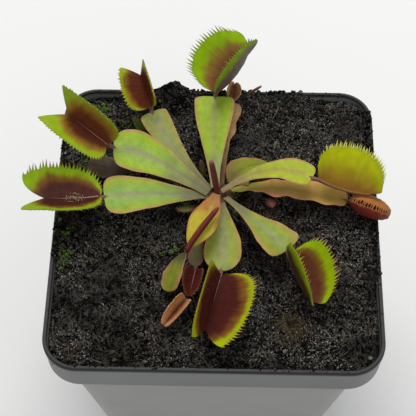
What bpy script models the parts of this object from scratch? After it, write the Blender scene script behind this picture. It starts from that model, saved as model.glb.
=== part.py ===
"""Potted Venus flytrap: square nursery pot, peat, rhizome and every leaf as its own solid.

Frame: origin at the centre of the pot's underside, +Z up, +Y to the back.
Lengths in the tables are millimetres; heights in the leaf tables count from the pot's rim.
"""
import math

import bmesh
import bpy
import numpy as np
from mathutils import Vector, noise

MM = 0.001

# ---- pot -------------------------------------------------------------------
POT_HEIGHT = 90.0        # rim above the underside
COLLAR_WIDTH = 90.0      # outer width across the collar at the rim
COLLAR_DEPTH = 11.0      # height of the stepped-out collar
COLLAR_CORNER = 9.5      # outer corner radius of the collar
BODY_TOP_WIDTH = 83.0    # outer width just under the collar
BODY_BOTTOM_WIDTH = 63.6
BODY_CORNER = 8.0
WALL = 1.2
FLOOR = 1.6
DRAIN_RADIUS = 3.5
DRAIN_OFFSET = 19.0      # centre of each drain hole along X and Y
CORNER_STEPS = 5

# ---- peat ------------------------------------------------------------------
SOIL_GAP = 0.35          # between the peat and the pot
SOIL_LEVEL = -1.6        # peat surface below the rim
SOIL_RINGS = 7           # rings of facets between the wall and the crown
SOIL_SIDE_POINTS = 6
MOUND = (-6.0, 40.5, 6.5, 2.4)        # x, y, spread and height of the heap at the back

# ---- crown -----------------------------------------------------------------
CROWN = (0.2, 7.9)       # where the leaves meet
RHIZOME_RADIUS = 3.6
RHIZOME_TOP = 1.6
RHIZOME_DEPTH = 9.0
POCKET_GAP = 0.45        # between the rhizome and the peat
CROWN_CLEAR = 4.7        # leaf bases start this far from the crown's axis

# ---- leaves ----------------------------------------------------------------
THICK = 0.8              # blade thickness
NECK = (0.75, 0.7)       # half width and half height of the neck under the trap
LOBE_COLUMNS = 12        # along the hinge
LOBE_ROWS = 4            # hinge to margin
TOOTH = 0.9              # length of the teeth on a trap's margin

# Footstalk: base, end, sideways shift of the middle, arch, half widths at the base and at
# the widest place, where that is, how fast it widens, how blunt the end is, roll.
# Trap: hinge base, heading, pitch, roll, half opening, hinge length, lobe depth, overshoot
# of the far corner, its height, height of the near corner, bow of the hinge, bend of each
# lobe from hinge to margin in degrees, swell of the far edge, 1 where a clasped trap's
# section keeps its shape from end to end, and how far out the margin's far shoulder lies.
LEAVES = {
    "leaf_north": dict(
        stalk=((-0.4, 9.0, 3.0), (-0.9, 36.4, 8.3), (-0.8, 2.4), 2.0, 1.2, 5.7, .90, 1.5, 3.2, -2),
        trap=((-1.0, 37.6, 9.0), 49.5, 15, -27, 34, 14.2, 14.4, .28, .42, .19, .09, 35, .10, 0, .75)),
    "leaf_north_northwest": dict(
        stalk=((-1.6, 8.9, 2.0), (-19.0, 32.6, 5.6), (-2.5, -1.1), 1.5, .8, 4.0, .93, 1.8, 2.7, -3),
        trap=((-19.3, 33.3, 7.0), 109.5, 22, -23, 26, 9.7, 9.5, .29, .70, .40, .05, 35, .05, 0, .75)),
    "leaf_northwest": dict(
        stalk=((-2.3, 7.0, 3.5), (-29.0, 18.3, 8.3), (-3.8, 5.7), 2.5, 1.1, 6.0, .74, 1.3, 2.6, -9),
        trap=((-30.75, 19.1, 9.0), 156, 33, -30, 41, 13.5, 9.0, .52, .89, .30, .05, 35, .05, 0, .75)),
    "leaf_west": dict(
        stalk=((-2.3, 6.6, 2.5), (-30.8, 3.3, 6.4), (-1.8, 0.5), 1.5, .85, 5.7, .84, 1.35, 3.2, -5),
        trap=((-32.2, 3.0, 7.0), 185, 3, 11.5, 61, 14.4, 9.8, .43, .70, .08, .04, 35, .13, 0, .75)),
    "leaf_south": dict(
        stalk=((1.3, 5.7, 1.4), (1.6, -18.4, 5.2), (1.4, 0.3), 2.6, .95, 5.1, .78, 1.7, 2.1, 6),
        trap=((1.6, -19.4, 5.0), -105, -11, -23, 30.5, 15.2, 13.5, .28, .48, .34, 0, 35, .06, 0, .75)),
    "leaf_southeast": dict(
        stalk=((2.7, 6.1, 2.5), (19.1, -11.9, 5.3), (2.6, -3.1), 2.5, .9, 6.0, .84, 1.9, 2.8, -16),
        trap=((19.8, -13.0, 5.0), -66, -9, -27, 28, 13.5, 11.1, .17, .37, .38, .06, 35, .08, 0, .75)),
    "leaf_east_upper": dict(
        stalk=((1.5, 7.7, 3.4), (26.2, 9.3, 8.2), (1.5, 6.8), 4.0, .8, 4.0, .84, 1.7, 3.6, -4),
        trap=((28.0, 9.4, 8.2), -21, 5, -55, 6, 15.3, 12.3, .15, .12, .34, .06, 35, .06, 0, 1.10)),
    "leaf_east_lower": dict(
        stalk=((2.6, 8.8, 0.9), (36.4, 6.2, 1.6), (-6.7, 5.6), 0.8, .7, 4.3, .82, 1.9, 2.8, -10),
        trap=((38.1, 6.4, 1.3), -24, 1, 28, 5, 10.6, 10.4, .04, .30, .34, .03, 128, 0, 1, .95)),
    "leaf_young_folded": dict(
        stalk=((-0.1, 5.1, 5.6), (-6.9, -14.6, 11.0), (2.5, 1.1), 5.0, 1.2, 3.8, .68, 1.5, 1.5, -12),
        trap=((-6.9, -15.2, 12.4), 57, 2, 0, 15, 14.0, 2.0, .04, .40, .40, -.02, 35, 0, 0, .75)),
    "leaf_old_behind_north": dict(
        stalk=((1.0, 9.5, 0.2), (3.2, 38.2, 3.2), (.9, 0.8), 0.5, .6, 3.9, .86, 4.5, 3.0, 0),
        trap=((3.7, 39.3, 2.9), 80, 14, 12, 25, 4.8, 4.4, .06, .40, .55, .03, 60, .10, 1, .75)),
    "leaf_small_dark_red": dict(
        stalk=((-1.6, 3.6, 0.9), (-5.1, -16.9, 4.7), (-2.4, 0.0), 1.4, .6, 2.1, .84, 1.8, 2.4, 0),
        trap=((-5.2, -17.7, 4.3), -102, -13, 0, 40, 7.2, 3.8, .02, .12, .62, .02, 35, 0, 0, .75)),
}

# Blades with no open trap: base, tip, sideways shift, arch, half widths, widest place,
# how fast it widens, bluntness, roll, thickness.
BLADES = {
    "leaf_small_southwest": ((-8.3, -12.4, 3.4), (-12.2, -22.9, 1.6), (-1.0, .4), 1.2,
                             .9, 2.8, .66, 1.1, 2.6, 20, .9),
    "leaf_small_green": ((-20.6, 27.6, 0.8), (-23.8, 31.8, 3.4), (-.4, .3), .5,
                         .7, 1.5, .60, 1.0, 2.0, 10, .7),
    "leaf_dead_flat": ((-25.6, 14.4, 0.5), (-36.8, 17.4, 0.9), (0, .8), .3,
                       1.2, 3.6, .45, 1.0, 2.2, 0, .6),
    "bract_east": ((3.6, 11.6, 1.6), (15.2, 15.6, 5.2), (-1.6, 3.0), 1.4,
                   .8, 4.0, .30, .9, 1.12, 24, .6),
    "bud_spike": ((0.2, 7.6, 2.3), (-1.7, 10.6, 15.0), (0.3, -.6), .2,
                  .75, .95, .40, 1.0, 2.2, 0, 1.5),
    "stub_north": ((-3.8, 14.6, 0.4), (-4.5, 17.2, 4.4), (-.2, .2), .2,
                   .7, .9, .45, 1.0, 2.2, 0, 1.0),
    "stub_west": ((-5.4, 4.2, 0.0), (-10.8, 2.4, 1.6), (0, -.3), .3,
                  .7, 1.1, .50, 1.0, 2.2, 0, .8),
}

# Closed dried trap lying on the peat: hinge base and the trap values as above.
OLD_TRAP = ((-7.6, -25.5, 2.2), -128, -6, -8, 27, 8.4, 4.0, .08, .35, .45, .03, 35, .05, 0, .75)

BARK = ((14.5, 7.3, 0.2), (15.7, 4.0, 1.0), (.4, .2), .2, .6, 1.4, .60, 1.0, 1.5, 12, .7)
TWIG = ((8.9, 43.2, 0.9), (12.6, 45.2, 2.0), (0, -.2), .3, .35, .42, .50, 1.0, 2.4, 0, .7)

COLOURS = {
    "pot_plastic": ((0.160, 0.162, 0.160), 0.50),
    "peat": ((0.022, 0.019, 0.017), 0.95),
    "rhizome_tissue": ((0.10, 0.045, 0.035), 0.7),
    "leaf_green": ((0.20, 0.30, 0.045), 0.45),
    "leaf_orange": ((0.36, 0.16, 0.045), 0.5),
    "leaf_yellow": ((0.48, 0.36, 0.05), 0.45),
    "leaf_dark_red": ((0.14, 0.03, 0.025), 0.5),
    "leaf_tan": ((0.40, 0.20, 0.09), 0.75),
    "leaf_dead_brown": ((0.055, 0.035, 0.028), 0.85),
    "bark": ((0.20, 0.07, 0.04), 0.85),
}


def clear_scene():
    for obj in list(bpy.data.objects):
        bpy.data.objects.remove(obj, do_unlink=True)


def material(name):
    mat = bpy.data.materials.get(name)
    if mat is None:
        colour, rough = COLOURS[name]
        mat = bpy.data.materials.new(name)
        mat.use_nodes = True
        bsdf = mat.node_tree.nodes["Principled BSDF"]
        bsdf.inputs["Base Color"].default_value = (*colour, 1.0)
        bsdf.inputs["Roughness"].default_value = rough
        bsdf.inputs["Metallic"].default_value = 0.0
    return mat


def add_object(name, bm, mat_name, smooth=True):
    bmesh.ops.recalc_face_normals(bm, faces=bm.faces[:])
    mesh = bpy.data.meshes.new(name)
    bm.to_mesh(mesh)
    bm.free()
    if smooth:
        mesh.shade_smooth()
        mesh.set_sharp_from_angle(angle=math.radians(40))
    obj = bpy.data.objects.new(name, mesh)
    bpy.context.scene.collection.objects.link(obj)
    mesh.materials.append(material(mat_name))
    return obj


def boolean(target, cutter, operation):
    mod = target.modifiers.new(operation.lower(), "BOOLEAN")
    mod.operation = operation
    mod.solver = "EXACT"
    mod.object = cutter
    cutter.hide_render = True
    cutter.display_type = "WIRE"
    return mod


# ---- square parts ----------------------------------------------------------
def rounded_square(width, radius, z, side_points=0):
    """Outline of a square with round corners, with extra points along each side."""
    half = width / 2 - radius
    corners = [(half, half), (-half, half), (-half, -half), (half, -half)]
    ring = []
    for quarter, (cx, cy) in enumerate(corners):
        for k in range(CORNER_STEPS + 1):
            a = math.pi / 2 * (quarter + k / CORNER_STEPS)
            ring.append((cx + radius * math.cos(a), cy + radius * math.sin(a), z))
        nx, ny = corners[(quarter + 1) % 4]
        x, y, _ = ring[-1]
        for k in range(1, side_points + 1):
            f = k / (side_points + 1)
            ring.append((x + (nx - cx) * f, y + (ny - cy) * f, z))
    return ring


def loft(bm, rings, cap_start=True, cap_end=True):
    loops = [[bm.verts.new((x * MM, y * MM, z * MM)) for x, y, z in ring] for ring in rings]
    for lower, upper in zip(loops, loops[1:]):
        for i in range(len(lower)):
            j = (i + 1) % len(lower)
            bm.faces.new((lower[i], lower[j], upper[j], upper[i]))
    if cap_start:
        bm.faces.new(loops[0][::-1])
    if cap_end:
        bm.faces.new(loops[-1])
    return loops


def wall_width(z):
    """Outer width of the tapered body at height z."""
    step = POT_HEIGHT - COLLAR_DEPTH
    return BODY_BOTTOM_WIDTH + (BODY_TOP_WIDTH - BODY_BOTTOM_WIDTH) * z / step


def build_pot():
    h, step = POT_HEIGHT, POT_HEIGHT - COLLAR_DEPTH
    inner = COLLAR_WIDTH - 2 * WALL
    r_in = COLLAR_CORNER - WALL
    rings = [
        rounded_square(BODY_BOTTOM_WIDTH - 2.4, BODY_CORNER - 1.2, 0),
        rounded_square(wall_width(1.2), BODY_CORNER, 1.2),
        rounded_square(BODY_TOP_WIDTH, BODY_CORNER, step),
        rounded_square(COLLAR_WIDTH - 1.6, COLLAR_CORNER - .5, step),
        rounded_square(COLLAR_WIDTH - .6, COLLAR_CORNER, step + .7),
        rounded_square(COLLAR_WIDTH, COLLAR_CORNER, h - .6),
        rounded_square(COLLAR_WIDTH - .8, COLLAR_CORNER - .4, h),
        rounded_square(inner + .4, r_in + .2, h),
        rounded_square(inner, r_in, h - .5),
        rounded_square(inner - .4, r_in, step + WALL),
        rounded_square(BODY_TOP_WIDTH - 2 * WALL, BODY_CORNER - WALL, step - .4),
        rounded_square(wall_width(FLOOR) - 2 * WALL, BODY_CORNER - WALL, FLOOR),
    ]
    bm = bmesh.new()
    loft(bm, rings)
    pot = add_object("pot", bm, "pot_plastic")
    pot.data.set_sharp_from_angle(angle=math.radians(30))
    bm = bmesh.new()
    places = [(sx * DRAIN_OFFSET, sy * DRAIN_OFFSET) for sx in (-1, 1) for sy in (-1, 1)]
    for x, y in places:
        made = bmesh.ops.create_cone(bm, cap_ends=True, segments=16, radius1=DRAIN_RADIUS * MM,
                                     radius2=DRAIN_RADIUS * MM, depth=4 * FLOOR * MM)
        bmesh.ops.translate(bm, verts=made["verts"], vec=(x * MM, y * MM, FLOOR / 2 * MM))
    boolean(pot, add_object("drain_cutter", bm, "pot_plastic"), "DIFFERENCE")
    return pot


def soil_height(x, y):
    """Height of the peat's surface from the rim: lumpy, with a heap at the back."""
    z = SOIL_LEVEL
    z += 0.9 * noise.noise(Vector((x * .13, y * .13, 3.7)))
    z += 0.5 * noise.noise(Vector((x * .33, y * .33, 9.1)))
    mx, my, spread, tall = MOUND
    z += tall * math.exp(-((x - mx) ** 2 + (y - my) ** 2) / (2 * spread ** 2))
    return z


def build_soil():
    """Peat: fills the pot under the surface, with a pocket round the rhizome."""
    step = POT_HEIGHT - COLLAR_DEPTH
    outer = COLLAR_WIDTH - 2 * WALL - 2 * SOIL_GAP
    r_out = COLLAR_CORNER - WALL - SOIL_GAP
    low = SOIL_GAP + FLOOR
    sizes = [
        (wall_width(low) - 2 * WALL - 2 * SOIL_GAP, BODY_CORNER - WALL, low),
        (BODY_TOP_WIDTH - 2 * WALL - 2 * SOIL_GAP, BODY_CORNER - WALL - SOIL_GAP, step - .2),
        (outer - .5, r_out, step + WALL + SOIL_GAP + .2),
        (outer - .3, r_out, POT_HEIGHT + SOIL_LEVEL - 1.6),
    ]
    bm = bmesh.new()
    loops = loft(bm, [rounded_square(w, r, z, SOIL_SIDE_POINTS) for w, r, z in sizes],
                 cap_end=False)
    rim = loops[-1]
    count = len(rim)
    previous = rim
    cx, cy = CROWN
    for k in range(1, SOIL_RINGS + 1):
        f = 1 - k / (SOIL_RINGS + .7)
        ring = []
        for v in rim:
            x, y = cx + (v.co.x / MM - cx) * f, cy + (v.co.y / MM - cy) * f
            z = POT_HEIGHT + soil_height(x, y)
            ring.append(bm.verts.new((x * MM, y * MM, z * MM)))
        for i in range(count):
            j = (i + 1) % count
            bm.faces.new((previous[i], previous[j], ring[j], ring[i]))
        previous = ring
    bm.faces.new(previous)
    soil = add_object("soil", bm, "peat", smooth=False)
    bm = bmesh.new()
    radius = (RHIZOME_RADIUS + POCKET_GAP) * MM
    made = bmesh.ops.create_cone(bm, cap_ends=True, segments=20, radius1=radius, radius2=radius,
                                 depth=2 * (RHIZOME_DEPTH + POCKET_GAP) * MM)
    bmesh.ops.translate(bm, verts=made["verts"], vec=(cx * MM, cy * MM, POT_HEIGHT * MM))
    boolean(soil, add_object("pocket_cutter", bm, "peat"), "DIFFERENCE")
    return soil


def build_rhizome():
    """Short bulbous rootstock whose leaf bases ring a low dome."""
    cx, cy = CROWN
    r, sides = RHIZOME_RADIUS, 16
    profile = [(r * .45, -RHIZOME_DEPTH), (r * .85, -RHIZOME_DEPTH + 2), (r, -4.0), (r, -.5),
               (r * .86, .6), (r * .5, RHIZOME_TOP)]
    rings = []
    for rad, z in profile:
        rings.append([(cx + rad * math.cos(2 * math.pi * i / sides),
                       cy + rad * math.sin(2 * math.pi * i / sides), POT_HEIGHT + z)
                      for i in range(sides)])
    bm = bmesh.new()
    loft(bm, rings)
    return add_object("rhizome", bm, "rhizome_tissue")


# ---- leaf blades -----------------------------------------------------------
def spine(base, end, mid, arch, t):
    b, e = np.array(base), np.array(end)
    m = (b + e) / 2 + np.array([mid[0], mid[1], arch])
    point = (1 - t) ** 2 * b + 2 * t * (1 - t) * m + t * t * e
    tangent = 2 * (1 - t) * (m - b) + 2 * t * (e - m)
    return point, tangent / np.linalg.norm(tangent)


def half_width(t, w_base, w_max, widest, spread, blunt):
    if t < widest:
        return w_base + (w_max - w_base) * math.sin(math.pi / 2 * (t / widest) ** spread)
    f = (t - widest) / (1 - widest)
    return w_max * max(0.0, 1 - f ** blunt) ** (1 / blunt)


def cross_axes(tangent, roll):
    side = np.cross(tangent, (0, 0, 1))
    side /= np.linalg.norm(side)
    up = np.cross(side, tangent)
    r = math.radians(roll)
    return side * math.cos(r) - up * math.sin(r), up * math.cos(r) + side * math.sin(r)


def blade_ring(centre, side, up, w, thick):
    """Lens-shaped section: a shallow channel above a slight keel."""
    half = thick / 2
    fold = min(0.16 * w, 0.9)
    outline = [(-1, .10, 1), (-.55, half, .5), (0, half, 0), (.55, half, .5),
               (1, .10, 1), (.55, -half, .5), (0, -half * 1.3, 0), (-.55, -half, .5)]
    ring = []
    for f, lift, rise in outline:
        p = centre + side * (f * w) + up * (lift + fold * rise * rise)
        ring.append((p[0], p[1], p[2] + POT_HEIGHT))
    return ring


def start_of(base, end, mid, arch):
    """First place on the spine that is clear of the crown."""
    for i in range(200):
        t = i / 400
        p, _ = spine(base, end, mid, arch, t)
        if math.hypot(p[0] - CROWN[0], p[1] - CROWN[1]) >= CROWN_CLEAR:
            return t
    return 0.0


def stalk_rings(base, end, mid, arch, w0, wm, widest, spread, blunt, roll, thick, steps,
                clear=True):
    t0 = start_of(base, end, mid, arch) if clear else 0.0
    rings = []
    for i in range(steps + 1):
        f = i / steps
        f = 1 - (1 - f) ** 1.6
        t = t0 + (0.985 - t0) * f
        c, tan = spine(base, end, mid, arch, t)
        side, up = cross_axes(tan, roll)
        w = max(half_width(t, w0, wm, widest, spread, blunt), NECK[0] if clear else .35)
        rings.append(blade_ring(c, side, up, w, thick))
    return rings


def trap_axes(az, pitch, roll):
    a, b, r = (math.radians(v) for v in (az, pitch, roll))
    h = np.array([math.cos(a) * math.cos(b), math.sin(a) * math.cos(b), math.sin(b)])
    side = np.cross(h, (0, 0, 1))
    side /= np.linalg.norm(side)
    up = np.cross(side, h)
    return (h, side * math.cos(r) - up * math.sin(r), up * math.cos(r) + side * math.sin(r))


def margin(s, over, tip_high, base_high, fullness):
    """Free edge of a lobe in units of hinge length and lobe depth."""
    ctrl = np.array([(-.06, base_high), (-.08, base_high + .75), (fullness, 1.22),
                     (1 + over, tip_high)])
    w = np.array([(1 - s) ** 3, 3 * s * (1 - s) ** 2, 3 * s * s * (1 - s), s ** 3])
    return w @ ctrl


def lobe_point(trap, sign, s, t, lift=0.0):
    """Point on a lobe: s along the hinge, t from hinge to margin, lift off the surface."""
    (base, az, pitch, roll, opening, length, depth, over, tip_high, base_high, bow,
     curl, bulge, scaled, fullness) = trap
    h, side, up = trap_axes(az, pitch, roll)
    m = margin(s, over, tip_high, base_high, fullness)
    u = length * (s * (1 - t) + m[0] * t + bulge * s ** 5 * 4 * t * (1 - t))
    v = depth * m[1] * t
    k = math.radians(curl) / (depth * max(m[1], .1) if scaled else depth)
    a0 = math.radians(opening + curl / 2)
    a1 = a0 - k * v
    out = (math.cos(a1) - math.cos(a0)) / k
    rise = (math.sin(a0) - math.sin(a1)) / k
    x = min(max(u / length, 0), 1)
    sag = bow * 4 * x * (1 - x) * length
    p = np.array(base) + u * h + sign * (out + lift * math.cos(a1)) * side
    return p + (rise - sag - lift * math.sin(a1)) * up


def build_trap(bm, trap):
    """Two curved lobes that share a hinge, as one closed sheet with toothed margins."""
    cols, rows = LOBE_COLUMNS, LOBE_ROWS
    half = min(THICK, .14 * trap[6] + .1) / 2
    layers = []
    for lift in (-half, half):
        grid = []
        for i in range(cols + 1):
            s = i / cols
            line = []
            for j in range(-rows, rows + 1):
                sign = 1 if j > 0 else -1
                t = abs(j) / rows
                thin = lift * (1 - .45 * t)
                if j == 0:
                    left = lobe_point(trap, -1, s, 0, 0)
                    _, _, up = trap_axes(trap[1], trap[2], trap[3])
                    p = left - up * lift
                else:
                    p = lobe_point(trap, sign, s, t, thin)
                line.append(bm.verts.new((p[0] * MM, p[1] * MM, (p[2] + POT_HEIGHT) * MM)))
            grid.append(line)
        layers.append(grid)
    inner, outer = layers
    last = 2 * rows
    for i in range(cols):
        for j in range(last):
            bm.faces.new((inner[i][j], inner[i + 1][j], inner[i + 1][j + 1], inner[i][j + 1]))
            bm.faces.new((outer[i][j], outer[i][j + 1], outer[i + 1][j + 1], outer[i + 1][j]))
    rims = []
    for i in range(cols):
        rims.append(bm.faces.new((inner[i][0], outer[i][0], outer[i + 1][0], inner[i + 1][0])))
        rims.append(bm.faces.new((inner[i][last], inner[i + 1][last],
                                  outer[i + 1][last], outer[i][last])))
    for j in range(last):
        bm.faces.new((inner[0][j], inner[0][j + 1], outer[0][j + 1], outer[0][j]))
        bm.faces.new((inner[cols][j], outer[cols][j], outer[cols][j + 1], inner[cols][j + 1]))
    bm.normal_update()
    length = min(TOOTH, .09 * trap[6])
    for face in rims:
        outward = margin_direction(face, inner, rows)
        tip = face.calc_center_median() + outward * length * MM
        poked = bmesh.ops.poke(bm, faces=[face])
        poked["verts"][0].co = tip


def margin_direction(face, inner, rows):
    """Direction in which a rim face looks, away from its own lobe."""
    ids = set(face.verts)
    for line_in in inner:
        for j, nxt in ((0, 1), (2 * rows, 2 * rows - 1)):
            if line_in[j] in ids:
                d = line_in[j].co - line_in[nxt].co
                return d.normalized()
    return face.normal


def neck_ring(centre, side, up):
    w, t = NECK
    ring = []
    for f, g in ((-1, .3), (-.6, 1), (0, 1.1), (.6, 1), (1, .3), (.6, -.8), (0, -1), (-.6, -.8)):
        q = centre + side * f * w + up * g * t
        ring.append((q[0], q[1], q[2] + POT_HEIGHT))
    return ring


def build_leaf(name, spec, mat_name):
    """Footstalk and neck, united with the trap into one body."""
    base, end, mid, arch, w0, wm, widest, spread, blunt, roll = spec["stalk"]
    rings = stalk_rings(base, end, mid, arch, w0, wm, widest, spread, blunt, roll, THICK, 10)
    trap = spec["trap"]
    _, side, up = trap_axes(trap[1], trap[2], trap[3])
    tail, tangent = spine(base, end, mid, arch, 0.985)
    tail_side, _ = cross_axes(tangent, roll)
    near, far = (lobe_point(trap, -1, s, 0) - up * .5 for s in (.03, .16))
    if np.dot(side, tail_side) < 0:
        turn = (tail + near) / 2 + tangent * .8
        rings.append(neck_ring(turn, tail_side, -tangent))
        side, up = -side, -up
    rings += [neck_ring(near, side, up), neck_ring(far, side, up)]
    bm = bmesh.new()
    loft(bm, rings)
    stalk = add_object(name, bm, mat_name)
    bm = bmesh.new()
    build_trap(bm, trap)
    cutter = add_object(name + "_trap_union", bm, mat_name)
    boolean(stalk, cutter, "UNION")
    return stalk


def build_blade(name, spec, mat_name, steps=6):
    *shape, thick = spec
    rings = stalk_rings(*shape, thick, steps, clear=False)
    bm = bmesh.new()
    loft(bm, rings)
    return add_object(name, bm, mat_name)


LEAF_MATERIAL = {
    "leaf_east_lower": "leaf_orange", "leaf_young_folded": "leaf_yellow",
    "leaf_old_behind_north": "leaf_tan", "leaf_small_dark_red": "leaf_dark_red",
    "leaf_small_southwest": "leaf_green", "leaf_dead_flat": "leaf_dead_brown",
    "bud_spike": "leaf_dark_red", "stub_north": "leaf_dead_brown",
    "stub_west": "leaf_tan",
}


def main():
    clear_scene()
    build_pot()
    build_soil()
    build_rhizome()
    for name, spec in LEAVES.items():
        build_leaf(name, spec, LEAF_MATERIAL.get(name, "leaf_green"))
    for name, spec in BLADES.items():
        build_blade(name, spec, LEAF_MATERIAL.get(name, "leaf_green"))
    bm = bmesh.new()
    build_trap(bm, OLD_TRAP)
    add_object("trap_dried", bm, "leaf_tan")
    build_blade("bark_chip", BARK, "bark", 4)
    build_blade("twig", TWIG, "bark", 5)


main()
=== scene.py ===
import math

import bpy
import numpy as np
from mathutils import Matrix, Vector, noise


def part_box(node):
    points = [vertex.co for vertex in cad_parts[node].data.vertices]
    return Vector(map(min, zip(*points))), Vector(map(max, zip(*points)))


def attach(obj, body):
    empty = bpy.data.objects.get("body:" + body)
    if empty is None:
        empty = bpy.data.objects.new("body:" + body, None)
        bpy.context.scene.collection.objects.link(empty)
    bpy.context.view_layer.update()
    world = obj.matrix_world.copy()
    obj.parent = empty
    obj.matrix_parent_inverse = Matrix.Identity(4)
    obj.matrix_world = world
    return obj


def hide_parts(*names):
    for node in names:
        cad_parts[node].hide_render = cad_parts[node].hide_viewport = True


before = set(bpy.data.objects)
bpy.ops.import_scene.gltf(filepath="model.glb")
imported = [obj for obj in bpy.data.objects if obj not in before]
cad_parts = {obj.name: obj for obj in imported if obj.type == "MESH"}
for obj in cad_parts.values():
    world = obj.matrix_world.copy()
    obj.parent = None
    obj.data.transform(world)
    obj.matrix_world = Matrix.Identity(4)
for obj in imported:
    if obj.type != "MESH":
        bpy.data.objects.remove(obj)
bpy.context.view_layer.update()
MM = 0.001
POT_LOW, POT_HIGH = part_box("pot")
RIM = POT_HIGH[2] / MM               # rim height above the floor, mm
POT_WIDTH = (POT_HIGH[0] - POT_LOW[0]) / MM
COLLAR_DEPTH = 11.0

# ---- the plant's own measures, millimetres, with heights above the rim's plane --
CROWN = (0.2, 7.9)                   # where the leaves meet

# Footstalk: base, end, sideways shift of the middle, arch, half widths at base and widest,
# where it is widest, how fast it widens, bluntness of the end, roll.
# Trap: hinge base, heading, pitch, roll, half opening, hinge length, lobe depth, overshoot of
# the far corner, its height, height of the near corner, bow of the hinge, bend of each lobe
# from hinge to margin in degrees, swell of the far edge, 1 for a clasped trap, and how far out
# the margin's far shoulder lies.
LEAVES = {
    "leaf_north": dict(
        stalk=((-0.4, 9.0, 3.0), (-0.9, 36.4, 8.3), (-0.8, 2.4), 2.0, 1.2, 5.7, .90, 1.5, 3.2, -2),
        trap=((-1.0, 37.6, 9.0), 49.5, 15, -27, 34, 14.2, 14.4, .28, .42, .19, .09, 35, .10, 0, .75)),
    "leaf_north_northwest": dict(
        stalk=((-1.6, 8.9, 2.0), (-19.0, 32.6, 5.6), (-2.5, -1.1), 1.5, .8, 4.0, .93, 1.8, 2.7, -3),
        trap=((-19.3, 33.3, 7.0), 109.5, 22, -23, 26, 9.7, 9.5, .29, .70, .40, .05, 35, .05, 0, .75)),
    "leaf_northwest": dict(
        stalk=((-2.3, 7.0, 3.5), (-29.0, 18.3, 8.3), (-3.8, 5.7), 2.5, 1.1, 6.0, .74, 1.3, 2.6, -9),
        trap=((-30.75, 19.1, 9.0), 156, 33, -30, 41, 13.5, 9.0, .52, .89, .30, .05, 35, .05, 0, .75)),
    "leaf_west": dict(
        stalk=((-2.3, 6.6, 2.5), (-30.8, 3.3, 6.4), (-1.8, 0.5), 1.5, .85, 5.7, .84, 1.35, 3.2, -5),
        trap=((-32.2, 3.0, 7.0), 185, 3, 11.5, 61, 14.4, 9.8, .43, .70, .08, .04, 35, .13, 0, .75)),
    "leaf_south": dict(
        stalk=((1.3, 5.7, 1.4), (1.6, -18.4, 5.2), (1.4, 0.3), 2.6, .95, 5.1, .78, 1.7, 2.1, 6),
        trap=((1.6, -19.4, 5.0), -105, -11, -23, 30.5, 15.2, 13.5, .28, .48, .34, 0, 35, .06, 0, .75)),
    "leaf_southeast": dict(
        stalk=((2.7, 6.1, 2.5), (19.1, -11.9, 5.3), (2.6, -3.1), 2.5, .9, 6.0, .84, 1.9, 2.8, -16),
        trap=((19.8, -13.0, 5.0), -66, -9, -27, 28, 13.5, 11.1, .17, .37, .38, .06, 35, .08, 0, .75)),
    "leaf_east_upper": dict(
        stalk=((1.5, 7.7, 3.4), (26.2, 9.3, 8.2), (1.5, 6.8), 4.0, .8, 4.0, .84, 1.7, 3.6, -4),
        trap=((28.0, 9.4, 8.2), -21, 5, -55, 6, 15.3, 12.3, .15, .12, .34, .06, 35, .06, 0, 1.10)),
    "leaf_east_lower": dict(
        stalk=((2.6, 8.8, 0.9), (36.4, 6.2, 1.6), (-6.7, 5.6), 0.8, .7, 4.3, .82, 1.9, 2.8, -10),
        trap=((38.1, 6.4, 1.3), -24, 1, 28, 5, 10.6, 10.4, .04, .30, .34, .03, 128, 0, 1, .95)),
    "leaf_young_folded": dict(
        stalk=((-0.1, 5.1, 5.6), (-6.9, -14.6, 11.0), (2.5, 1.1), 5.0, 1.2, 3.8, .68, 1.5, 1.5, -12),
        trap=((-6.9, -15.2, 12.4), 57, 2, 0, 15, 14.0, 2.0, .04, .40, .40, -.02, 35, 0, 0, .75)),
    "leaf_old_behind_north": dict(
        stalk=((1.0, 9.5, 0.2), (3.2, 38.2, 3.2), (.9, 0.8), 0.5, .6, 3.9, .86, 4.5, 3.0, 0),
        trap=((3.7, 39.3, 2.9), 80, 14, 12, 25, 4.8, 4.4, .06, .40, .55, .03, 60, .10, 1, .75)),
    "leaf_small_dark_red": dict(
        stalk=((-1.6, 3.6, 0.9), (-5.1, -16.9, 4.7), (-2.4, 0.0), 1.4, .6, 2.1, .84, 1.8, 2.4, 0),
        trap=((-5.2, -17.7, 4.3), -102, -13, 0, 40, 7.2, 3.8, .02, .12, .62, .02, 35, 0, 0, .75)),
}

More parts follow.
